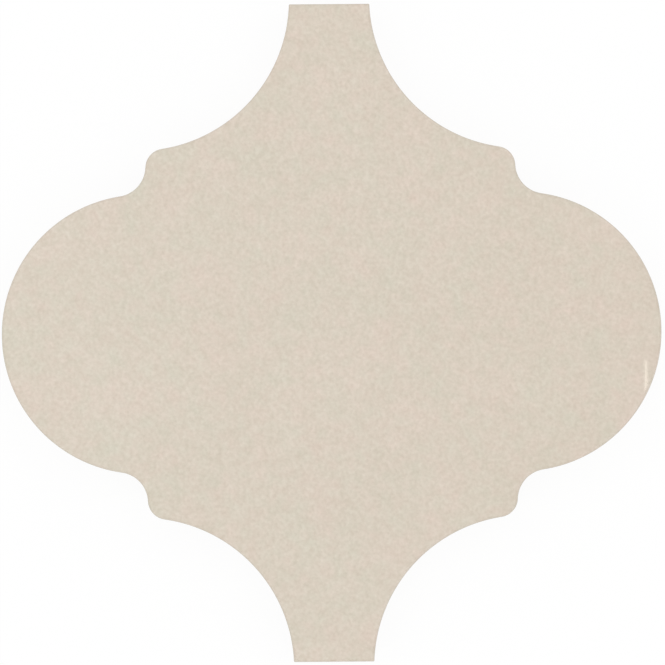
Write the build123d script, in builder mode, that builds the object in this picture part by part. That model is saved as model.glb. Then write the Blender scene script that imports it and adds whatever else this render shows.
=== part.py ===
"""Arabesque wall tile: one pressed, glazed and fired ceramic piece.

The tile lies face up. Its origin is the middle of its keyed back, X runs from lobe to lobe,
Y from neck to neck, and Z out of the glazed face. The outline is drawn so that copies of the
tile, set half a pitch apart each way, nest with one even joint all round. It is rounded
everywhere but at the necks' ends, whose corners are crisp.
"""

import math
import os

from build123d import *

# Face outline, in millimetres
tile_width = 120.0  # over the two round lobes
tile_height = 119.6  # over the flat ends of the two necks
neck_width = 14.6  # across a neck, at its narrowest
shoulder_rise = 8.0  # from the top of the lobe's circle to the foot of the neck's hollow
shoulder_radius = 3.5  # the rounded shoulder between the two
joint_width = 2.0  # the joint that nested copies leave between them

# Section
tile_thickness = 8.5  # from the back's bed to the glazed face
edge_land = 3.0  # upright stretch of the side, under the face
side_draft = 3.0  # degrees, below the land, towards the back
face_edge_radius = 0.5  # the glazed edge
back_edge_chamfer = 0.4

# Key on the back: square pockets between raised ribs, inside a plain rim
key_rim = 4.0
key_pitch = 12.0
key_rib_width = 2.2
key_depth = 0.6
key_draft = 30.0  # degrees, each pocket's wall

# A neighbour's lobe nests in the neck's hollow, and its shoulder in the step, one joint away.
lobe_radius = (tile_height / 2 - joint_width / 2 - shoulder_rise) / 2
neck_radius = lobe_radius + joint_width
step_radius = shoulder_radius + joint_width
lobe_centre = Vector(tile_width / 2 - lobe_radius, 0)
neck_centre = Vector(neck_width / 2 + neck_radius, (tile_height + joint_width) / 2)

# Where the four arcs touch: the shoulder lies on the line from the neck's centre, the step on
# the parallel line from the lobe's centre, and the law of cosines gives their slant.
reach = neck_radius + shoulder_radius
spine = neck_centre - lobe_centre
slant_from_spine = math.acos(
    (spine.length**2 + (2 * reach) ** 2 - (shoulder_radius + step_radius) ** 2)
    / (4 * reach * spine.length)
)
slant = math.degrees(math.atan2(spine.Y, spine.X) - slant_from_spine)
slant_line = Vector(reach, 0).rotate(Axis.Z, slant)
shoulder_centre = neck_centre - slant_line
step_centre = lobe_centre + slant_line

# Each arc's start and turn, in degrees
crossing = shoulder_centre - step_centre
crossing_angle = math.degrees(math.atan2(crossing.Y, crossing.X)) % 360
step_start = slant + 180
step_turn = crossing_angle - step_start
neck_end_lean = math.degrees(math.asin(joint_width / 2 / neck_radius))
neck_turn = neck_end_lean - slant

land_plane = Plane.XY.offset(tile_thickness - edge_land)

pocket_width = key_pitch - key_rib_width
pocket_columns = 2 * math.ceil(tile_width / 2 / key_pitch) + 1
pocket_rows = 2 * math.ceil(tile_height / 2 / key_pitch) + 1

os.makedirs("parts", exist_ok=True)

with BuildPart() as wall_tile:
    with BuildSketch(land_plane) as outline:
        with BuildLine() as border:
            CenterArc(lobe_centre, lobe_radius, -slant, 2 * slant)
            step = CenterArc(step_centre, step_radius, step_start, step_turn)
            shoulder = CenterArc(shoulder_centre, shoulder_radius, crossing_angle - 180, -step_turn)
            hollow = CenterArc(neck_centre, neck_radius, step_start, neck_turn)
            mirror([step, shoulder, hollow], about=Plane.XZ)
            mirror(about=Plane.YZ)
            open_ends = border.vertices().group_by(Axis.Y)
            Line(*open_ends[0])
            Line(*open_ends[-1])
        make_face()

    # The drafted foot first, then the upright land on top of it
    extrude(amount=-land_plane.origin.Z)
    draft(wall_tile.faces().filter_by(Axis.Z, reverse=True), -land_plane, side_draft)
    extrude(outline.sketch, amount=edge_land)
    fillet(wall_tile.faces().sort_by(Axis.Z)[-1].edges(), face_edge_radius)
    chamfer(wall_tile.faces().sort_by(Axis.Z)[0].edges(), back_edge_chamfer)

    # A pocket wherever its middle falls inside the rim, cut off by the rim
    with BuildSketch() as key:
        bed = offset(outline.sketch_local, -key_rim, mode=Mode.PRIVATE)
        cells = GridLocations(key_pitch, key_pitch, pocket_columns, pocket_rows)
        with Locations(*[cell for cell in cells if bed.face().is_inside(cell.position)]):
            Rectangle(pocket_width, pocket_width)
        add(bed, mode=Mode.INTERSECT)
    extrude(amount=key_depth, taper=key_draft, mode=Mode.SUBTRACT)

wall_tile.part.label = "wall_tile"
export_step(wall_tile.part, "parts/wall_tile.step")
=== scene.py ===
"""The looks of an arabesque wall tile: gloss glaze over the face and edge, bare fired body below.

Sizes are in millimetres, and MM turns them into Blender's metres.
"""

import math

import bpy
import numpy as np
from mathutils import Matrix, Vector, geometry, noise


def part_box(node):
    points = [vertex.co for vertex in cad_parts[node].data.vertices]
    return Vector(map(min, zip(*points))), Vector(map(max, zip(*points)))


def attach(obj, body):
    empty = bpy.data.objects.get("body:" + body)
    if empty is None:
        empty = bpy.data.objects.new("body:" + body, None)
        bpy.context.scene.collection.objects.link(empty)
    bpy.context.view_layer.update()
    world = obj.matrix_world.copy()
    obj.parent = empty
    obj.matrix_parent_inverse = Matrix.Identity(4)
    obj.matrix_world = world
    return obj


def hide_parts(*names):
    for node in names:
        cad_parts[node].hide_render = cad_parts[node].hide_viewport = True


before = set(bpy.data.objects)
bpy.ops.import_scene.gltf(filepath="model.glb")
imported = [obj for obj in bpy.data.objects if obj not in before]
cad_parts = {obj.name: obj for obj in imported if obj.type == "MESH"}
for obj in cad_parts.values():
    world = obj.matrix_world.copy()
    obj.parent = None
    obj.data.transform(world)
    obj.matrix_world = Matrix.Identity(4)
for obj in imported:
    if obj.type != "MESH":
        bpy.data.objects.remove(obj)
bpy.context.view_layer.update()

MM = 0.001

# The tile's outline and section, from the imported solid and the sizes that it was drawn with
lowest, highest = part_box("wall_tile")
TILE_WIDTH, TILE_HEIGHT, THICKNESS = (highest - lowest) / MM
NECK_WIDTH = 14.6
SHOULDER_RISE = 8.0
SHOULDER_RADIUS = 3.5
JOINT_WIDTH = 2.0
EDGE_RADIUS = 0.5
EDGE_LAND = 3.0
LAND_BASE = THICKNESS - EDGE_LAND  # the side is upright above this height and drafted below it
DRAFT_ANGLE = math.radians(3)
SIDE_DRAFT = math.tan(DRAFT_ANGLE)
BACK_CHAMFER = 0.4
CORNER_RADIUS = 0.2  # the necks' crisp corners, softened by pressing and firing
CORNER_GROWTH = 0.3  # how much rounder they get with each millimetre inside the outline

# The key on the back
KEY_RIM = 4.0
KEY_PITCH = 12.0
KEY_REACH = math.ceil(TILE_WIDTH / 2 / KEY_PITCH)  # pockets each way from the middle one
RIB_WIDTH = 2.2
POCKET_HALF = (KEY_PITCH - RIB_WIDTH) / 2
KEY_DEPTH = 0.6
POCKET_ANGLE = math.radians(30)  # of a pocket's walls from the upright
POCKET_SLOPE = math.tan(POCKET_ANGLE)
POCKET_WALL = KEY_DEPTH * POCKET_SLOPE  # a pocket wall's run, from mouth to floor
RIB_EASE = 0.15  # how far the worn edge of a rib reaches on to the rib
RIB_EASE_DEPTH = 0.09
POCKET_LEVELS = (  # inset from the pocket's mouth, and height
    (-RIB_EASE, 0),
    (RIB_EASE_DEPTH * POCKET_SLOPE, RIB_EASE_DEPTH),
    (POCKET_WALL, KEY_DEPTH),
)

# The glaze, all of it inside the solid's own surface
GLAZE_RUN = 2.4  # how far it runs down from the face, on average
RUN_WAVES = ((22.0, 0.55), (5.0, 0.3))  # length and height of the waves along its lower edge
GLAZE_THICKNESS = 0.14
GLAZE_LIP = 0.25  # height of the rolled edge where it stops
GLAZE_SAG = 0.03  # how far it hollows between the face's edge and the lip
FACE_WAVES = ((17.0, 0.01), (6.0, 0.002))  # length and depth of the waves of the fired face
BODY_WAVES = (1.6, 0.03)  # length and depth of the pressed body's unevenness
RIM_INSET = GLAZE_THICKNESS + SIDE_DRAFT * LAND_BASE + BACK_CHAMFER  # the back's edge, inside the face's

# Mesh density
EDGE_STEP = 0.55  # along the outline
CORNER_STEPS = 5
FACE_STEP = 0.95  # between points on the face
BACK_STEP = 1.4  # between points on the back
CLEARANCE = 0.5  # a loose point's least distance from an edge, as a share of the step
EDGE_ROWS = 6
FLAT_RING = 0.06  # width of the last flat ring of the face, which keeps its shading level up to the edge
GLAZE_ROWS = 6
LIP_ROWS = 4
BODY_ROWS = 11
FACE_INSET = EDGE_RADIUS + FLAT_RING
SAME_POINT = 0.02  # points of a loop this close are one
MERGE_REACH = 0.0002  # and so are points this close where the loops are filled
WHOLE_HULL = 0  # the kind of filling that covers all the points
QUAD_CORNERS = 4
TRIANGLE_CORNERS = 3
SHARP_ANGLE = math.radians(38)

# The flat map that the finishes can be baked to
MAP_MARGIN = 0.6
MAP_STRIPS = 8  # lengths that the side is cut into
STRIP_PITCH = 10.0
FLAT_ROWS = 5  # rows of the edge that are mapped with the face
NEXT_TILE = np.array([NECK_WIDTH / 2 + JOINT_WIDTH + TILE_WIDTH / 2, (TILE_HEIGHT + JOINT_WIDTH) / 2])
MAP_SIDE = TILE_WIDTH + NEXT_TILE[0] + 2 * MAP_MARGIN

# What the photograph shows, in its own pixels
IMAGE_SIDE = 665
PIXELS_PER_MM = 5.4995
TILE_CENTRE = (331.62, 332.9)
TILE_LEAN = math.radians(0.45)  # anticlockwise

# Glaze finish
# the glaze at the tile's left and right ends; the darker right end is painted shade, standing in for light
# falling off across the tile
GLAZE_LEFT = (0.702, 0.626, 0.526)
GLAZE_RIGHT_PAINTED_SHADE = (0.682, 0.601, 0.501)
ROSY = (1.045, 0.99, 1.008)
GREENISH = (0.955, 1.01, 0.992)
TINT_SIZES = (2.5, 8.0)
GLAZE_GRAIN = ((0.65, 0.15), (1.9, 0.055), (6.0, 0.01), (20.0, 0.02))  # size and depth
GRAIN_CAST = np.array([0.88, 1.0, 1.22])  # makes the grain as deep in each colour to the eye
GLAZE_ROUGHNESS = (0.04, 0.07)
SHEEN_SIZE = 5.0  # of the patches between the two
GLAZE_IOR = 1.5
PEEL_SIZE = 3.0
PEEL_DEPTH = 0.004
GRAIN_TILT = (0.6, 0.4, 0.5)  # turns all grain, so that no face lies along its grid

# Bare body finish
CLAY_CREAM = (0.67, 0.575, 0.46)
CLAY_BUFF = (0.58, 0.475, 0.365)
CLAY_PATCH = 9.0
GRANULE_SIZE = 0.35
GRANULE_CONTRAST = 0.2
GRANULE_DEPTH = 0.12
PIT_SIZE = 0.6
PIT_RISE = (0.2, 0.42)  # noise levels between a pit's floor and the surface round it
PIT_DEPTH = 0.05
SPECK_SIZE = 0.35
SPECK_RISE = (0.74, 0.82)
IRON_BROWN = (0.4, 0.29, 0.2)
CLAY_ROUGHNESS = (0.78, 0.95)
WASH_WHITE = (0.78, 0.74, 0.68)
WASH_SHARE = 0.6
WASH_PATCH = 7.0
WASH_RISE = (0.35, 0.6)
WASH_HEIGHT = (0.08, 0.3)  # the wash fades out between these heights
FLECK_SIZE = 0.45
FLECK_REACH = 2.2  # how far below the glaze's lip they thin out
FLECK_GAIN = 0.3
FLECK_RISE = (0.74, 0.8)

# Stage
LENS = 200.0
SENSOR = 36.0
FLOOR_SIDE = 8000.0
FLOOR_DROP = 0.05  # keeps the floor from lying in the plane of the back's ribs
FLOOR_BOUNCE = 0.65  # how much light the floor throws back at the tile
FLOOR_GLOW = 0.93  # share of the floor's look that is plain white, the rest being lit and shaded
AMBIENT = 0.79
WALL_GREY = 0.5  # how bright the studio's walls look, between its white sweep and its white ceiling
WALL_FOOT = (0.4, 0.6)  # where the sweep turns into the walls, as the sine of the height above the horizon
WALL_HEAD = (0.8, 0.97)
SOFTBOX_SIDE = 620.0
SOFTBOX_PLACE = (700.0, 700.0, 1100.0)  # of the one at the back on the right, and mirrored for the others
SOFTBOX_RADIANCE = 1.3

# A narrow lamp that shows in the glaze as a streak
STREAK = ((645.8, 360.5), (645.8, 400.0))  # its ends in the photograph, the second one past the edge
STREAK_WIDTH = 0.5
STREAK_LIFT = 25.0  # the lamp's height above the face
STREAK_RADIANCE = 4.85
STREAK_WARMTH = (1.0, 0.94, 0.82)


# Outline


def arc(centre, radius, start, turn, steps, hollow=False):
    """Points on an arc, with the tile's outward direction at each, without the arc's last point."""
    angles = start + turn * np.arange(steps) / steps
    outward = np.column_stack([np.cos(angles), np.sin(angles)])
    return centre + radius * outward, -outward if hollow else outward


def steps_along(length):
    """How many steps a stretch of the outline is cut into."""
    return round(abs(length) / EDGE_STEP)


def quarter_outline(inset):
    """The outline, drawn in by an inset, from the middle of the right lobe to the middle of the top end."""
    lobe_radius = (TILE_HEIGHT / 2 - JOINT_WIDTH / 2 - SHOULDER_RISE) / 2
    neck_radius = lobe_radius + JOINT_WIDTH
    step_radius = SHOULDER_RADIUS + JOINT_WIDTH
    lobe = np.array([TILE_WIDTH / 2 - lobe_radius, 0])
    neck = np.array([NECK_WIDTH / 2 + neck_radius, (TILE_HEIGHT + JOINT_WIDTH) / 2])

    # The lines from lobe to step and from shoulder to neck are parallel, at this slant.
    reach = neck_radius + SHOULDER_RADIUS
    spine = neck - lobe
    length = np.hypot(*spine)
    bridge = SHOULDER_RADIUS + step_radius
    opening = math.acos((length**2 + (2 * reach) ** 2 - bridge**2) / (4 * reach * length))
    slant = math.atan2(spine[1], spine[0]) - opening
    slant_line = reach * np.array([math.cos(slant), math.sin(slant)])
    shoulder = neck - slant_line
    step = lobe + slant_line
    across = shoulder - step
    turn = math.atan2(across[1], across[0]) % math.tau - (slant + math.pi)

    # The neck's corner touches its hollow and its flat end.
    corner_radius = CORNER_RADIUS + CORNER_GROWTH * inset
    end_y = TILE_HEIGHT / 2 - inset
    corner_rise = neck[1] - (end_y - corner_radius)
    corner_run = math.sqrt((neck_radius + inset + corner_radius) ** 2 - corner_rise**2)
    corner = neck - (corner_run, corner_rise)
    corner_angle = math.atan2(corner_rise, corner_run)

    end_x = np.linspace(corner[0], 0, steps_along(NECK_WIDTH / 2) + 1)
    end = np.column_stack([end_x, np.full_like(end_x, end_y)])
    hollow_turn = corner_angle - slant
    hollow_steps = steps_along(neck_radius * slant)
    points, outward = zip(
        arc(lobe, lobe_radius - inset, 0, slant, steps_along(lobe_radius * slant)),
        arc(step, step_radius + inset, slant + math.pi, turn, steps_along(step_radius * turn), hollow=True),
        arc(shoulder, SHOULDER_RADIUS - inset, slant + turn, -turn, steps_along(SHOULDER_RADIUS * turn)),
        arc(neck, neck_radius + inset, slant + math.pi, hollow_turn, hollow_steps, hollow=True),
        arc(corner, corner_radius, corner_angle, math.pi / 2 - corner_angle, CORNER_STEPS),
        (end, np.tile([0.0, 1.0], (len(end), 1))),
    )
    return np.concatenate(points), np.concatenate(outward)


def whole_outline(inset):
    """The closed outline, anticlockwise from the right lobe: points and outward directions."""
    whole = []
    for quarter in quarter_outline(inset):
        mirrored = quarter[::-1] * (-1, 1)
        half = np.concatenate([quarter[:-1], mirrored[:-1]])
        whole.append(np.concatenate([half, -half]))
    return whole


outline, outward = whole_outline(0)
inward = (whole_outline(RIM_INSET)[0] - outline) / RIM_INSET  # each point's way in, a millimetre long


def depth_inside(points):
    """How far inside the outline each point lies, below zero outside it."""
    depths = []
    for point in points:
        away = point - outline
        nearest = np.argmin((away**2).sum(axis=1))
        depths.append(-away[nearest] @ outward[nearest])
    return np.array(depths)


# Mesh


def waves(points, length, seed=0):
    """Smooth noise from about -1 to 1 at each point, with waves of that length."""
    offset = Vector((seed, seed, seed))
    return np.array([noise.noise(Vector(point) / length + offset) for point in points])


def with_height(points, height):
    """Flat points raised to one height, or each to its own."""
    return np.column_stack([points, np.broadcast_to(height, len(points))])


def face_height(points):
    """How high the glazed face stands, in gentle waves just under the solid's own face."""
    height = np.full(len(points), THICKNESS)
    for seed, (length, depth) in enumerate(FACE_WAVES):
        height -= depth * (1 + waves(with_height(points, 0), length, seed))
    return height


def side_row(inset, height):
    """A row of points all round the side, so far inside the outline and so high."""
    return with_height(outline + inward * np.reshape(inset, (-1, 1)), height)


def glazed_rows():
    """Rows of points round the glazed edge, from the face to the foot of the glaze's rolled lip."""
    face_edge = face_height(outline + inward * FACE_INSET)
    rows = [side_row(FACE_INSET, face_edge)]
    for angle in np.linspace(0, math.pi / 2, EDGE_ROWS + 1):
        drop = EDGE_RADIUS * (1 - math.cos(angle))
        settle = (THICKNESS - face_edge) * math.cos(angle)
        rows.append(side_row(EDGE_RADIUS * (1 - math.sin(angle)), THICKNESS - drop - settle))

    stop = np.full(len(outline), THICKNESS - GLAZE_RUN)
    for seed, (length, swing) in enumerate(RUN_WAVES):
        stop += swing * waves(with_height(outline, 0), length, seed)
    top = THICKNESS - EDGE_RADIUS
    for share in np.linspace(0, 1, GLAZE_ROWS + 1)[1:]:
        rows.append(side_row(GLAZE_SAG * math.sin(math.pi * share), top + (stop - top) * share))
    for angle in np.linspace(0, math.pi / 2, LIP_ROWS + 1)[1:]:
        roll = GLAZE_THICKNESS * (1 - math.cos(angle))
        rows.append(side_row(roll, stop - GLAZE_LIP * math.sin(angle)))
    return rows


def bare_rows(lip_foot):
    """Rows of points round the bare side, from under the glaze's lip to the back."""
    rows = []
    length, depth = BODY_WAVES
    for share in np.linspace(0, 1, BODY_ROWS + 1)[1:]:
        height = lip_foot + (BACK_CHAMFER - lip_foot) * share
        uneven = depth * (1 + waves(with_height(outline, height), length)) / 2
        draft = SIDE_DRAFT * np.maximum(LAND_BASE - height, 0)
        rows.append(side_row(GLAZE_THICKNESS + draft + uneven, height))
    rows.append(side_row(RIM_INSET, 0))
    return rows


def even_points(step):
    """Evenly spread points over the tile's whole width and height."""
    rows = []
    row_step = step * math.sqrt(3) / 2
    for count, y in enumerate(np.arange(-TILE_HEIGHT / 2, TILE_HEIGHT / 2, row_step)):
        x = np.arange(-TILE_WIDTH / 2, TILE_WIDTH / 2, step) + step / 2 * (count % 2)
        rows.append(np.column_stack([x, np.full_like(x, y)]))
    return np.concatenate(rows)


def face_points():
    """The glazed face's points inside its last flat ring."""
    points = even_points(FACE_STEP)
    points = points[depth_inside(points) > FACE_INSET + CLEARANCE * FACE_STEP]
    return with_height(points, face_height(points))


def clipped(loop, axis, limit):
    """The part of a closed loop that lies below a limit along an axis."""
    kept = []
    for start, end in zip(loop, np.roll(loop, -1, axis=0)):
        if start[axis] <= limit:
            kept.append(start)
        if (start[axis] - limit) * (end[axis] - limit) < 0:
            share = (limit - start[axis]) / (end[axis] - start[axis])
            kept.append(start + (end - start) * share)
    return np.array(kept)


def pocket_loop(bed, centre, half):
    """A square loop round a pocket's middle, cut off by the edge of the bed inside the rim."""
    loop = bed - centre
    for axis in (0, 1):
        for side in (1, -1):
            loop = side * clipped(side * loop, axis, half)
    step = np.linalg.norm(np.roll(loop, -1, axis=0) - loop, axis=1)
    return loop[step > SAME_POINT] + centre


def back_loops():
    """The key's closed loops: each pocket's worn ribs, then the tops of its walls, then its floor."""
    places = KEY_PITCH * np.arange(-KEY_REACH, KEY_REACH + 1)
    centres = np.array([(x, y) for x in places for y in places])
    centres = centres[depth_inside(centres) > KEY_RIM]
    loops = []
    for inset, height in POCKET_LEVELS:
        bed = outline - outward * (KEY_RIM + inset)
        bed = bed[depth_inside(bed) > KEY_RIM + inset - SAME_POINT]
        loops += [with_height(pocket_loop(bed, centre, POCKET_HALF - inset), height) for centre in centres]
    return loops


def back_points():
    """Loose points on the back's rim and ribs and on the pockets' floors, a little uneven."""
    points = even_points(BACK_STEP)
    depths = depth_inside(points)
    from_centre = np.abs((points + KEY_PITCH / 2) % KEY_PITCH - KEY_PITCH / 2).max(axis=1)
    in_pocket = np.minimum(POCKET_HALF - from_centre, depths - KEY_RIM)
    room = CLEARANCE * BACK_STEP
    on_rib = (in_pocket < -room) & (depths > RIM_INSET + room)
    on_floor = in_pocket > POCKET_WALL + room
    length, depth = BODY_WAVES
    uneven = depth * (1 + waves(with_height(points, 0), length)) / 2
    heights = np.where(on_floor, KEY_DEPTH, 0) + uneven
    return with_height(points, heights)[on_rib | on_floor]


def fill(loops, points, inset):
    """Triangles along some closed loops and through loose points, as far out as an inset."""
    edges = []
    first = 0
    for loop in loops:
        after = first + len(loop)
        edges += [(i, i + 1) for i in range(first, after - 1)] + [(after - 1, first)]
        first = after
    corners = np.concatenate([*loops, points])[:, :2]
    flat = [Vector(corner) for corner in corners]
    _, _, faces, origins, _, _ = geometry.delaunay_2d_cdt(flat, edges, [], WHOLE_HULL, MERGE_REACH, True)
    triangles = np.array([[origins[corner][0] for corner in face] for face in faces])
    return triangles[depth_inside(corners[triangles].mean(axis=1)) > inset]


def side_quads(row_count):
    """Quads between the rows of points round the side, row by row from the face down."""
    around = len(outline)
    column = np.arange(around)
    after = np.roll(column, -1)
    first_row = np.column_stack([column, column + around, after + around, after])
    return np.concatenate([first_row + row * around for row in range(row_count - 1)])


def tile_mesh(glaze, body):
    """The whole tile as one closed mesh, its face and edge in glaze and the rest in bare body."""
    glazed = glazed_rows()
    lip_foot = glazed[-1][:, 2]
    rows = glazed + bare_rows(lip_foot)
    face = face_points()
    loops = back_loops()
    back = back_points()
    points = np.concatenate([*rows, face, *loops, back])

    around = len(outline)
    face_start = len(rows) * around
    back_start = face_start + len(face)
    side = side_quads(len(rows))
    top = fill([rows[0]], face, FACE_INSET)
    top = np.where(top < around, top, top - around + face_start)
    under = fill([rows[-1], *loops], back, RIM_INSET)[:, ::-1]
    under = np.where(under < around, under + face_start - around, under - around + back_start)

    mesh = bpy.data.meshes.new("glazed_tile")
    mesh.from_pydata(points * MM, [], side.tolist() + top.tolist() + under.tolist())
    side_is_bare = np.arange(len(side)) >= (len(glazed) - 1) * around
    is_bare = np.concatenate([side_is_bare, np.zeros(len(top)), np.ones(len(under))])
    mesh.materials.append(glaze)
    mesh.materials.append(body)
    mesh.polygons.foreach_set("material_index", is_bare.astype(np.int32))

    below = THICKNESS - points[:, 2]
    below[:face_start] = np.tile(lip_foot, len(rows)) - points[:face_start, 2]
    mesh.attributes.new("below_glaze", "FLOAT", "POINT").data.foreach_set("value", below)
    add_flat_map(mesh, points, rows, QUAD_CORNERS * len(side) + TRIANGLE_CORNERS * len(top))
    mesh.shade_smooth()
    mesh.set_sharp_from_angle(angle=SHARP_ANGLE)
    return mesh


def add_flat_map(mesh, points, rows, back_start):
    """Maps the tile flat: face and back nested as laid tiles are, and the side in strips beside them."""
    around = len(outline)
    row_corners = QUAD_CORNERS * around
    corner = np.arange(len(mesh.loops))
    vertex = np.empty(len(corner), dtype=np.int32)
    mesh.loops.foreach_get("vertex_index", vertex)
    middle = np.array([TILE_WIDTH, TILE_HEIGHT]) / 2 + MAP_MARGIN
    place = points[vertex, :2] + middle

    # The back, with its chamfer, is turned over.
    chamfer_start = row_corners * (len(rows) - 2)
    is_chamfer = (corner >= chamfer_start) & (corner < chamfer_start + row_corners)
    is_back = (corner >= back_start) | is_chamfer
    place[is_back] = points[vertex[is_back], :2] * (-1, 1) + middle + NEXT_TILE

    # Half of the strips lie over the face's patch and half beside it.
    on_side = slice(row_corners * FLAT_ROWS, chamfer_start)
    column = corner[on_side] // QUAD_CORNERS % around
    is_far = corner[on_side] % QUAD_CORNERS >= QUAD_CORNERS / 2  # on the quad's next column
    strip = column * MAP_STRIPS // around
    first_column = -(-strip * around // MAP_STRIPS)
    edges = np.linalg.norm(np.roll(outline, -1, axis=0) - outline, axis=1)
    along = np.concatenate([[0], np.cumsum(edges)])
    run = along[column + is_far] - along[first_column]
    gaps = [np.linalg.norm(lower - upper, axis=1).mean() for upper, lower in zip(rows, rows[1:])]
    down = np.concatenate([[0], np.cumsum(gaps)])
    rise = down[-2] - down[vertex[on_side] // around]
    beside = (strip % 2)[:, None] * (TILE_WIDTH + JOINT_WIDTH, -TILE_HEIGHT - JOINT_WIDTH)
    level = np.column_stack([np.zeros_like(strip), strip // 2]) * STRIP_PITCH
    place[on_side] = np.column_stack([run, rise + TILE_HEIGHT + JOINT_WIDTH]) + beside + level + MAP_MARGIN

    flat_map = mesh.uv_layers.new(name="OFBake")
    flat_map.uv.foreach_set("vector", (place / MAP_SIDE).ravel())


# Shader nodes

# The Mix node's colour sockets, which share their names with its other sockets
MIX_SHARE = 0
MIX_FIRST = 6
MIX_SECOND = 7
MIX_RESULT = 2


class Value:
    """A shader socket, on which Python's arithmetic adds Math nodes."""

    def __init__(self, nodes, socket):
        self.nodes = nodes
        self.socket = socket

    def maths(self, operation, first, second):
        return self.nodes.add("Math", {"operation": operation}, {0: first, 1: second})

    def __add__(self, other):
        return self.maths("ADD", self, other)

    def __sub__(self, other):
        return self.maths("SUBTRACT", self, other)

    def __rsub__(self, other):
        return self.maths("SUBTRACT", other, self)

    def __mul__(self, other):
        return self.maths("MULTIPLY", self, other)

    __radd__ = __add__
    __rmul__ = __mul__


class Nodes:
    """The nodes of one material or of the world."""

    def __init__(self, owner):
        owner.use_nodes = True
        self.tree = owner.node_tree
        self.tree.nodes.clear()

    def add(self, kind, settings, sockets, output=0):
        """Adds a node, its settings first and then its sockets' values or links, and gives an output."""
        node = self.tree.nodes.new("ShaderNode" + kind)
        for name, setting in settings.items():
            setattr(node, name, setting)
        for name, value in sockets.items():
            if isinstance(value, Value):
                self.tree.links.new(value.socket, node.inputs[name])
            else:
                node.inputs[name].default_value = value
        if node.outputs:
            return Value(self, node.outputs[output])


def colour(shade):
    """A shade as a colour socket takes it, fully opaque."""
    return (*shade, 1.0)


def grey(strength):
    """A grey as a colour socket takes it, white at a strength of 1."""
    return colour((strength,) * 3)


def place_along(nodes, axis):
    """The place on the tile along an axis, in millimetres."""
    place = nodes.add("TexCoord", {}, {}, "Object")
    return nodes.add("SeparateXYZ", {}, {"Vector": place}, axis) * (1 / MM)


def cloud(nodes, size, detail=2.0):
    """Noise from 0 to 1 through the tile, with patches of that size."""
    place = nodes.add("TexCoord", {}, {}, "Object")
    tilt = {"Vector": place, "Rotation": GRAIN_TILT}
    tilted = nodes.add("VectorRotate", {"rotation_type": "EULER_XYZ"}, tilt)
    return nodes.add("TexNoise", {}, {"Vector": tilted, "Scale": 1 / (size * MM), "Detail": detail})


def blend(nodes, share, first, second):
    """One colour turning into another as the share goes from 0 to 1."""
    sockets = {MIX_SHARE: share, MIX_FIRST: first, MIX_SECOND: second}
    return nodes.add("Mix", {"data_type": "RGBA"}, sockets, MIX_RESULT)


def shaded(nodes, base, share, low, high):
    """A colour times a tint that goes from low to high with the share."""
    tint = blend(nodes, share, low, high)
    settings = {"data_type": "RGBA", "blend_type": "MULTIPLY"}
    return nodes.add("Mix", settings, {MIX_SHARE: 1.0, MIX_FIRST: base, MIX_SECOND: tint}, MIX_RESULT)


def ramp(nodes, value, start, end):
    """A smooth rise from 0 to 1 as the value goes from start to end."""
    settings = {"interpolation_type": "SMOOTHSTEP"}
    return nodes.add("MapRange", settings, {"Value": value, "From Min": start, "From Max": end})


# Materials


def gloss_glaze():
    """Beige glaze, darker towards the right as painted shade, with a fine even grain, fired to a gloss with
    a faint orange peel.
    """
    material = bpy.data.materials.new("beige_gloss_glaze")
    nodes = Nodes(material)
    # painted shade: the glaze's colour darkens from left to right, as if less light fell on the right
    share = place_along(nodes, "X") * (1 / TILE_WIDTH) + 0.5
    beige = blend(nodes, share, colour(GLAZE_LEFT), colour(GLAZE_RIGHT_PAINTED_SHADE))
    for size in TINT_SIZES:
        beige = shaded(nodes, beige, cloud(nodes, size), colour(GREENISH), colour(ROSY))
    for size, depth in GLAZE_GRAIN:
        swing = depth * GRAIN_CAST
        beige = shaded(nodes, beige, cloud(nodes, size), colour(1 - swing), colour(1 + swing))
    smooth, dull = GLAZE_ROUGHNESS
    peel = cloud(nodes, PEEL_SIZE, detail=0.0)
    surface = nodes.add(
        "BsdfPrincipled",
        {},
        {
            "Base Color": beige,
            "Roughness": smooth + (dull - smooth) * cloud(nodes, SHEEN_SIZE),
            "IOR": GLAZE_IOR,
            "Normal": nodes.add("Bump", {}, {"Height": peel, "Distance": PEEL_DEPTH * MM}),
        },
    )
    nodes.add("OutputMaterial", {}, {"Surface": surface})
    return material


def kiln_wash(nodes):
    """How much chalky wash is left on the rim and the ribs that the tile stood on in the kiln."""
    worn = ramp(nodes, cloud(nodes, WASH_PATCH), *WASH_RISE)
    return WASH_SHARE * worn * (1 - ramp(nodes, place_along(nodes, "Z"), *WASH_HEIGHT))


def glaze_flecks(nodes):
    """Flecks of sprayed glaze on the bare side, thinning out below the glaze's lip."""
    below = nodes.add("Attribute", {"attribute_name": "below_glaze"}, {}, "Fac")
    near = 1 - ramp(nodes, below, 0, FLECK_REACH)
    return ramp(nodes, cloud(nodes, FLECK_SIZE) + FLECK_GAIN * near, *FLECK_RISE)


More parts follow.
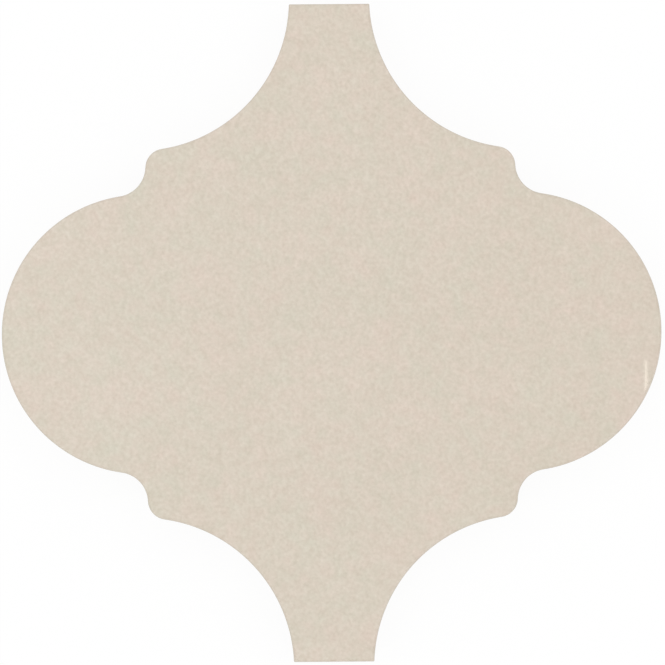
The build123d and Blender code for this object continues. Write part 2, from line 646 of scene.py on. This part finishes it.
def fired_body():
    """The bare pressed body: buff, dry, granular and pitted, with a few iron specks."""
    material = bpy.data.materials.new("bare_fired_body")
    nodes = Nodes(material)
    granules = cloud(nodes, GRANULE_SIZE)
    pits = ramp(nodes, cloud(nodes, PIT_SIZE, detail=0.0), *PIT_RISE)
    specks = ramp(nodes, cloud(nodes, SPECK_SIZE, detail=0.0), *SPECK_RISE)
    clay = blend(nodes, cloud(nodes, CLAY_PATCH), colour(CLAY_CREAM), colour(CLAY_BUFF))
    clay = shaded(nodes, clay, granules, grey(1 - GRANULE_CONTRAST), grey(1 + GRANULE_CONTRAST))
    clay = blend(nodes, specks, clay, colour(IRON_BROWN))
    clay = blend(nodes, kiln_wash(nodes), clay, colour(WASH_WHITE))
    clay = blend(nodes, glaze_flecks(nodes), clay, colour(GLAZE_LEFT))
    smooth, dull = CLAY_ROUGHNESS
    relief = GRANULE_DEPTH * granules + PIT_DEPTH * pits
    surface = nodes.add(
        "BsdfPrincipled",
        {},
        {
            "Base Color": clay,
            "Roughness": smooth + (dull - smooth) * granules,
            "Normal": nodes.add("Bump", {}, {"Height": relief, "Distance": MM}),
        },
    )
    nodes.add("OutputMaterial", {}, {"Surface": surface})
    return material


def seen_or_mirrored(nodes):
    """1 for what the camera sees, straight or in a gloss, and 0 for light that falls on the tile."""
    share = 0
    for ray in ("Is Camera Ray", "Is Glossy Ray", "Is Transmission Ray"):
        share = nodes.add("LightPath", {}, {}, ray) + share
    return nodes.add("Clamp", {}, {"Value": share})


def white_floor():
    """White where it is seen, under a soft shadow, and greyer in the light that it throws back."""
    material = bpy.data.materials.new("white_floor")
    nodes = Nodes(material)
    seen = seen_or_mirrored(nodes)
    lit = nodes.add("BsdfDiffuse", {}, {"Color": blend(nodes, seen, grey(FLOOR_BOUNCE), grey(1))})
    plain = nodes.add("Emission", {}, {"Color": grey(1)})
    surface = nodes.add("MixShader", {}, {0: FLOOR_GLOW * seen, 1: lit, 2: plain})
    nodes.add("OutputMaterial", {}, {"Surface": surface})
    return material


# Stage


def add_floor():
    """A wide white floor just under the tile's back."""
    half = FLOOR_SIDE / 2 * MM
    mesh = bpy.data.meshes.new("floor")
    corners = [(-half, -half, 0), (half, -half, 0), (half, half, 0), (-half, half, 0)]
    mesh.from_pydata(corners, [], [(0, 1, 2, 3)])
    mesh.materials.append(white_floor())
    floor = bpy.data.objects.new("floor", mesh)
    floor.location.z = -FLOOR_DROP * MM
    bpy.context.collection.objects.link(floor)


def light_room():
    """A white sweep at the horizon and a white ceiling, with greyer walls between them."""
    world = bpy.data.worlds.new("studio")
    nodes = Nodes(world)
    direction = nodes.add("TexCoord", {}, {}, "Generated")
    rise = nodes.add("SeparateXYZ", {}, {"Vector": direction}, "Z")
    walls = ramp(nodes, rise, *WALL_FOOT) - ramp(nodes, rise, *WALL_HEAD)
    look = 1 - (1 - WALL_GREY) * walls
    strength = AMBIENT + (look - AMBIENT) * seen_or_mirrored(nodes)
    room = nodes.add("Background", {}, {"Color": grey(1), "Strength": strength})
    nodes.add("OutputWorld", {}, {"Surface": room})
    bpy.context.scene.world = world


def add_lamp(name, width, length, radiance):
    """A flat lamp out of the camera's sight, of so much radiance."""
    light = bpy.data.lights.new(name, "AREA")
    light.shape = "RECTANGLE"
    light.size = width * MM
    light.size_y = length * MM
    light.energy = radiance * math.pi * light.size * light.size_y
    lamp = bpy.data.objects.new(name, light)
    lamp.visible_camera = False
    bpy.context.collection.objects.link(lamp)
    return lamp


def add_softboxes():
    """Four square lamps round the tile, aimed at it."""
    for right in (-1, 1):
        for back in (-1, 1):
            softbox = add_lamp("softbox", SOFTBOX_SIDE, SOFTBOX_SIDE, SOFTBOX_RADIANCE)
            softbox.location = Vector(SOFTBOX_PLACE) * Vector((right, back, 1)) * MM
            softbox.rotation_euler = softbox.location.to_track_quat("Z", "Y").to_euler()


def from_middle(pixel):
    """A pixel's place from the image's middle, in millimetres on the tile."""
    across = pixel[0] - IMAGE_SIDE / 2
    up = IMAGE_SIDE / 2 - pixel[1]
    return Vector((across, up, 0)) / PIXELS_PER_MM


def add_camera():
    """A camera straight above the tile, turned and set off as the photograph's was."""
    data = bpy.data.cameras.new("camera")
    data.lens = LENS
    data.sensor_width = SENSOR
    camera = bpy.data.objects.new("camera", data)
    distance = IMAGE_SIDE / PIXELS_PER_MM * LENS / SENSOR
    off_centre = from_middle(TILE_CENTRE)
    camera.location = Vector((-off_centre.x, -off_centre.y, THICKNESS - EDGE_RADIUS + distance)) * MM
    camera.rotation_euler.z = -TILE_LEAN
    bpy.context.collection.objects.link(camera)
    bpy.context.scene.camera = camera
    return camera


def add_streak_lamp(camera):
    """A narrow lamp, hung where the glaze mirrors it to the streak's place in the photograph."""
    ends = [from_middle(end) for end in STREAK]
    sight = camera.location.z / MM - THICKNESS
    spread = 1 + STREAK_LIFT / sight
    length = (ends[1] - ends[0]).length * spread
    lamp = add_lamp("streak_lamp", STREAK_WIDTH * spread, length, STREAK_RADIANCE)
    lamp.data.color = STREAK_WARMTH
    lamp.visible_diffuse = False
    middle = (ends[0] + ends[1]) / 2 * spread
    middle.z = STREAK_LIFT - sight
    lamp.rotation_euler.z = -TILE_LEAN
    lamp.location = camera.location + lamp.rotation_euler.to_matrix() @ middle * MM


# The tile on its stage

tile = bpy.data.objects.new("glazed_tile", tile_mesh(gloss_glaze(), fired_body()))
bpy.context.collection.objects.link(tile)
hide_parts("wall_tile")
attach(tile, "root")

add_floor()
light_room()
add_softboxes()
add_streak_lamp(add_camera())
bpy.context.scene.view_settings.view_transform = "Standard"
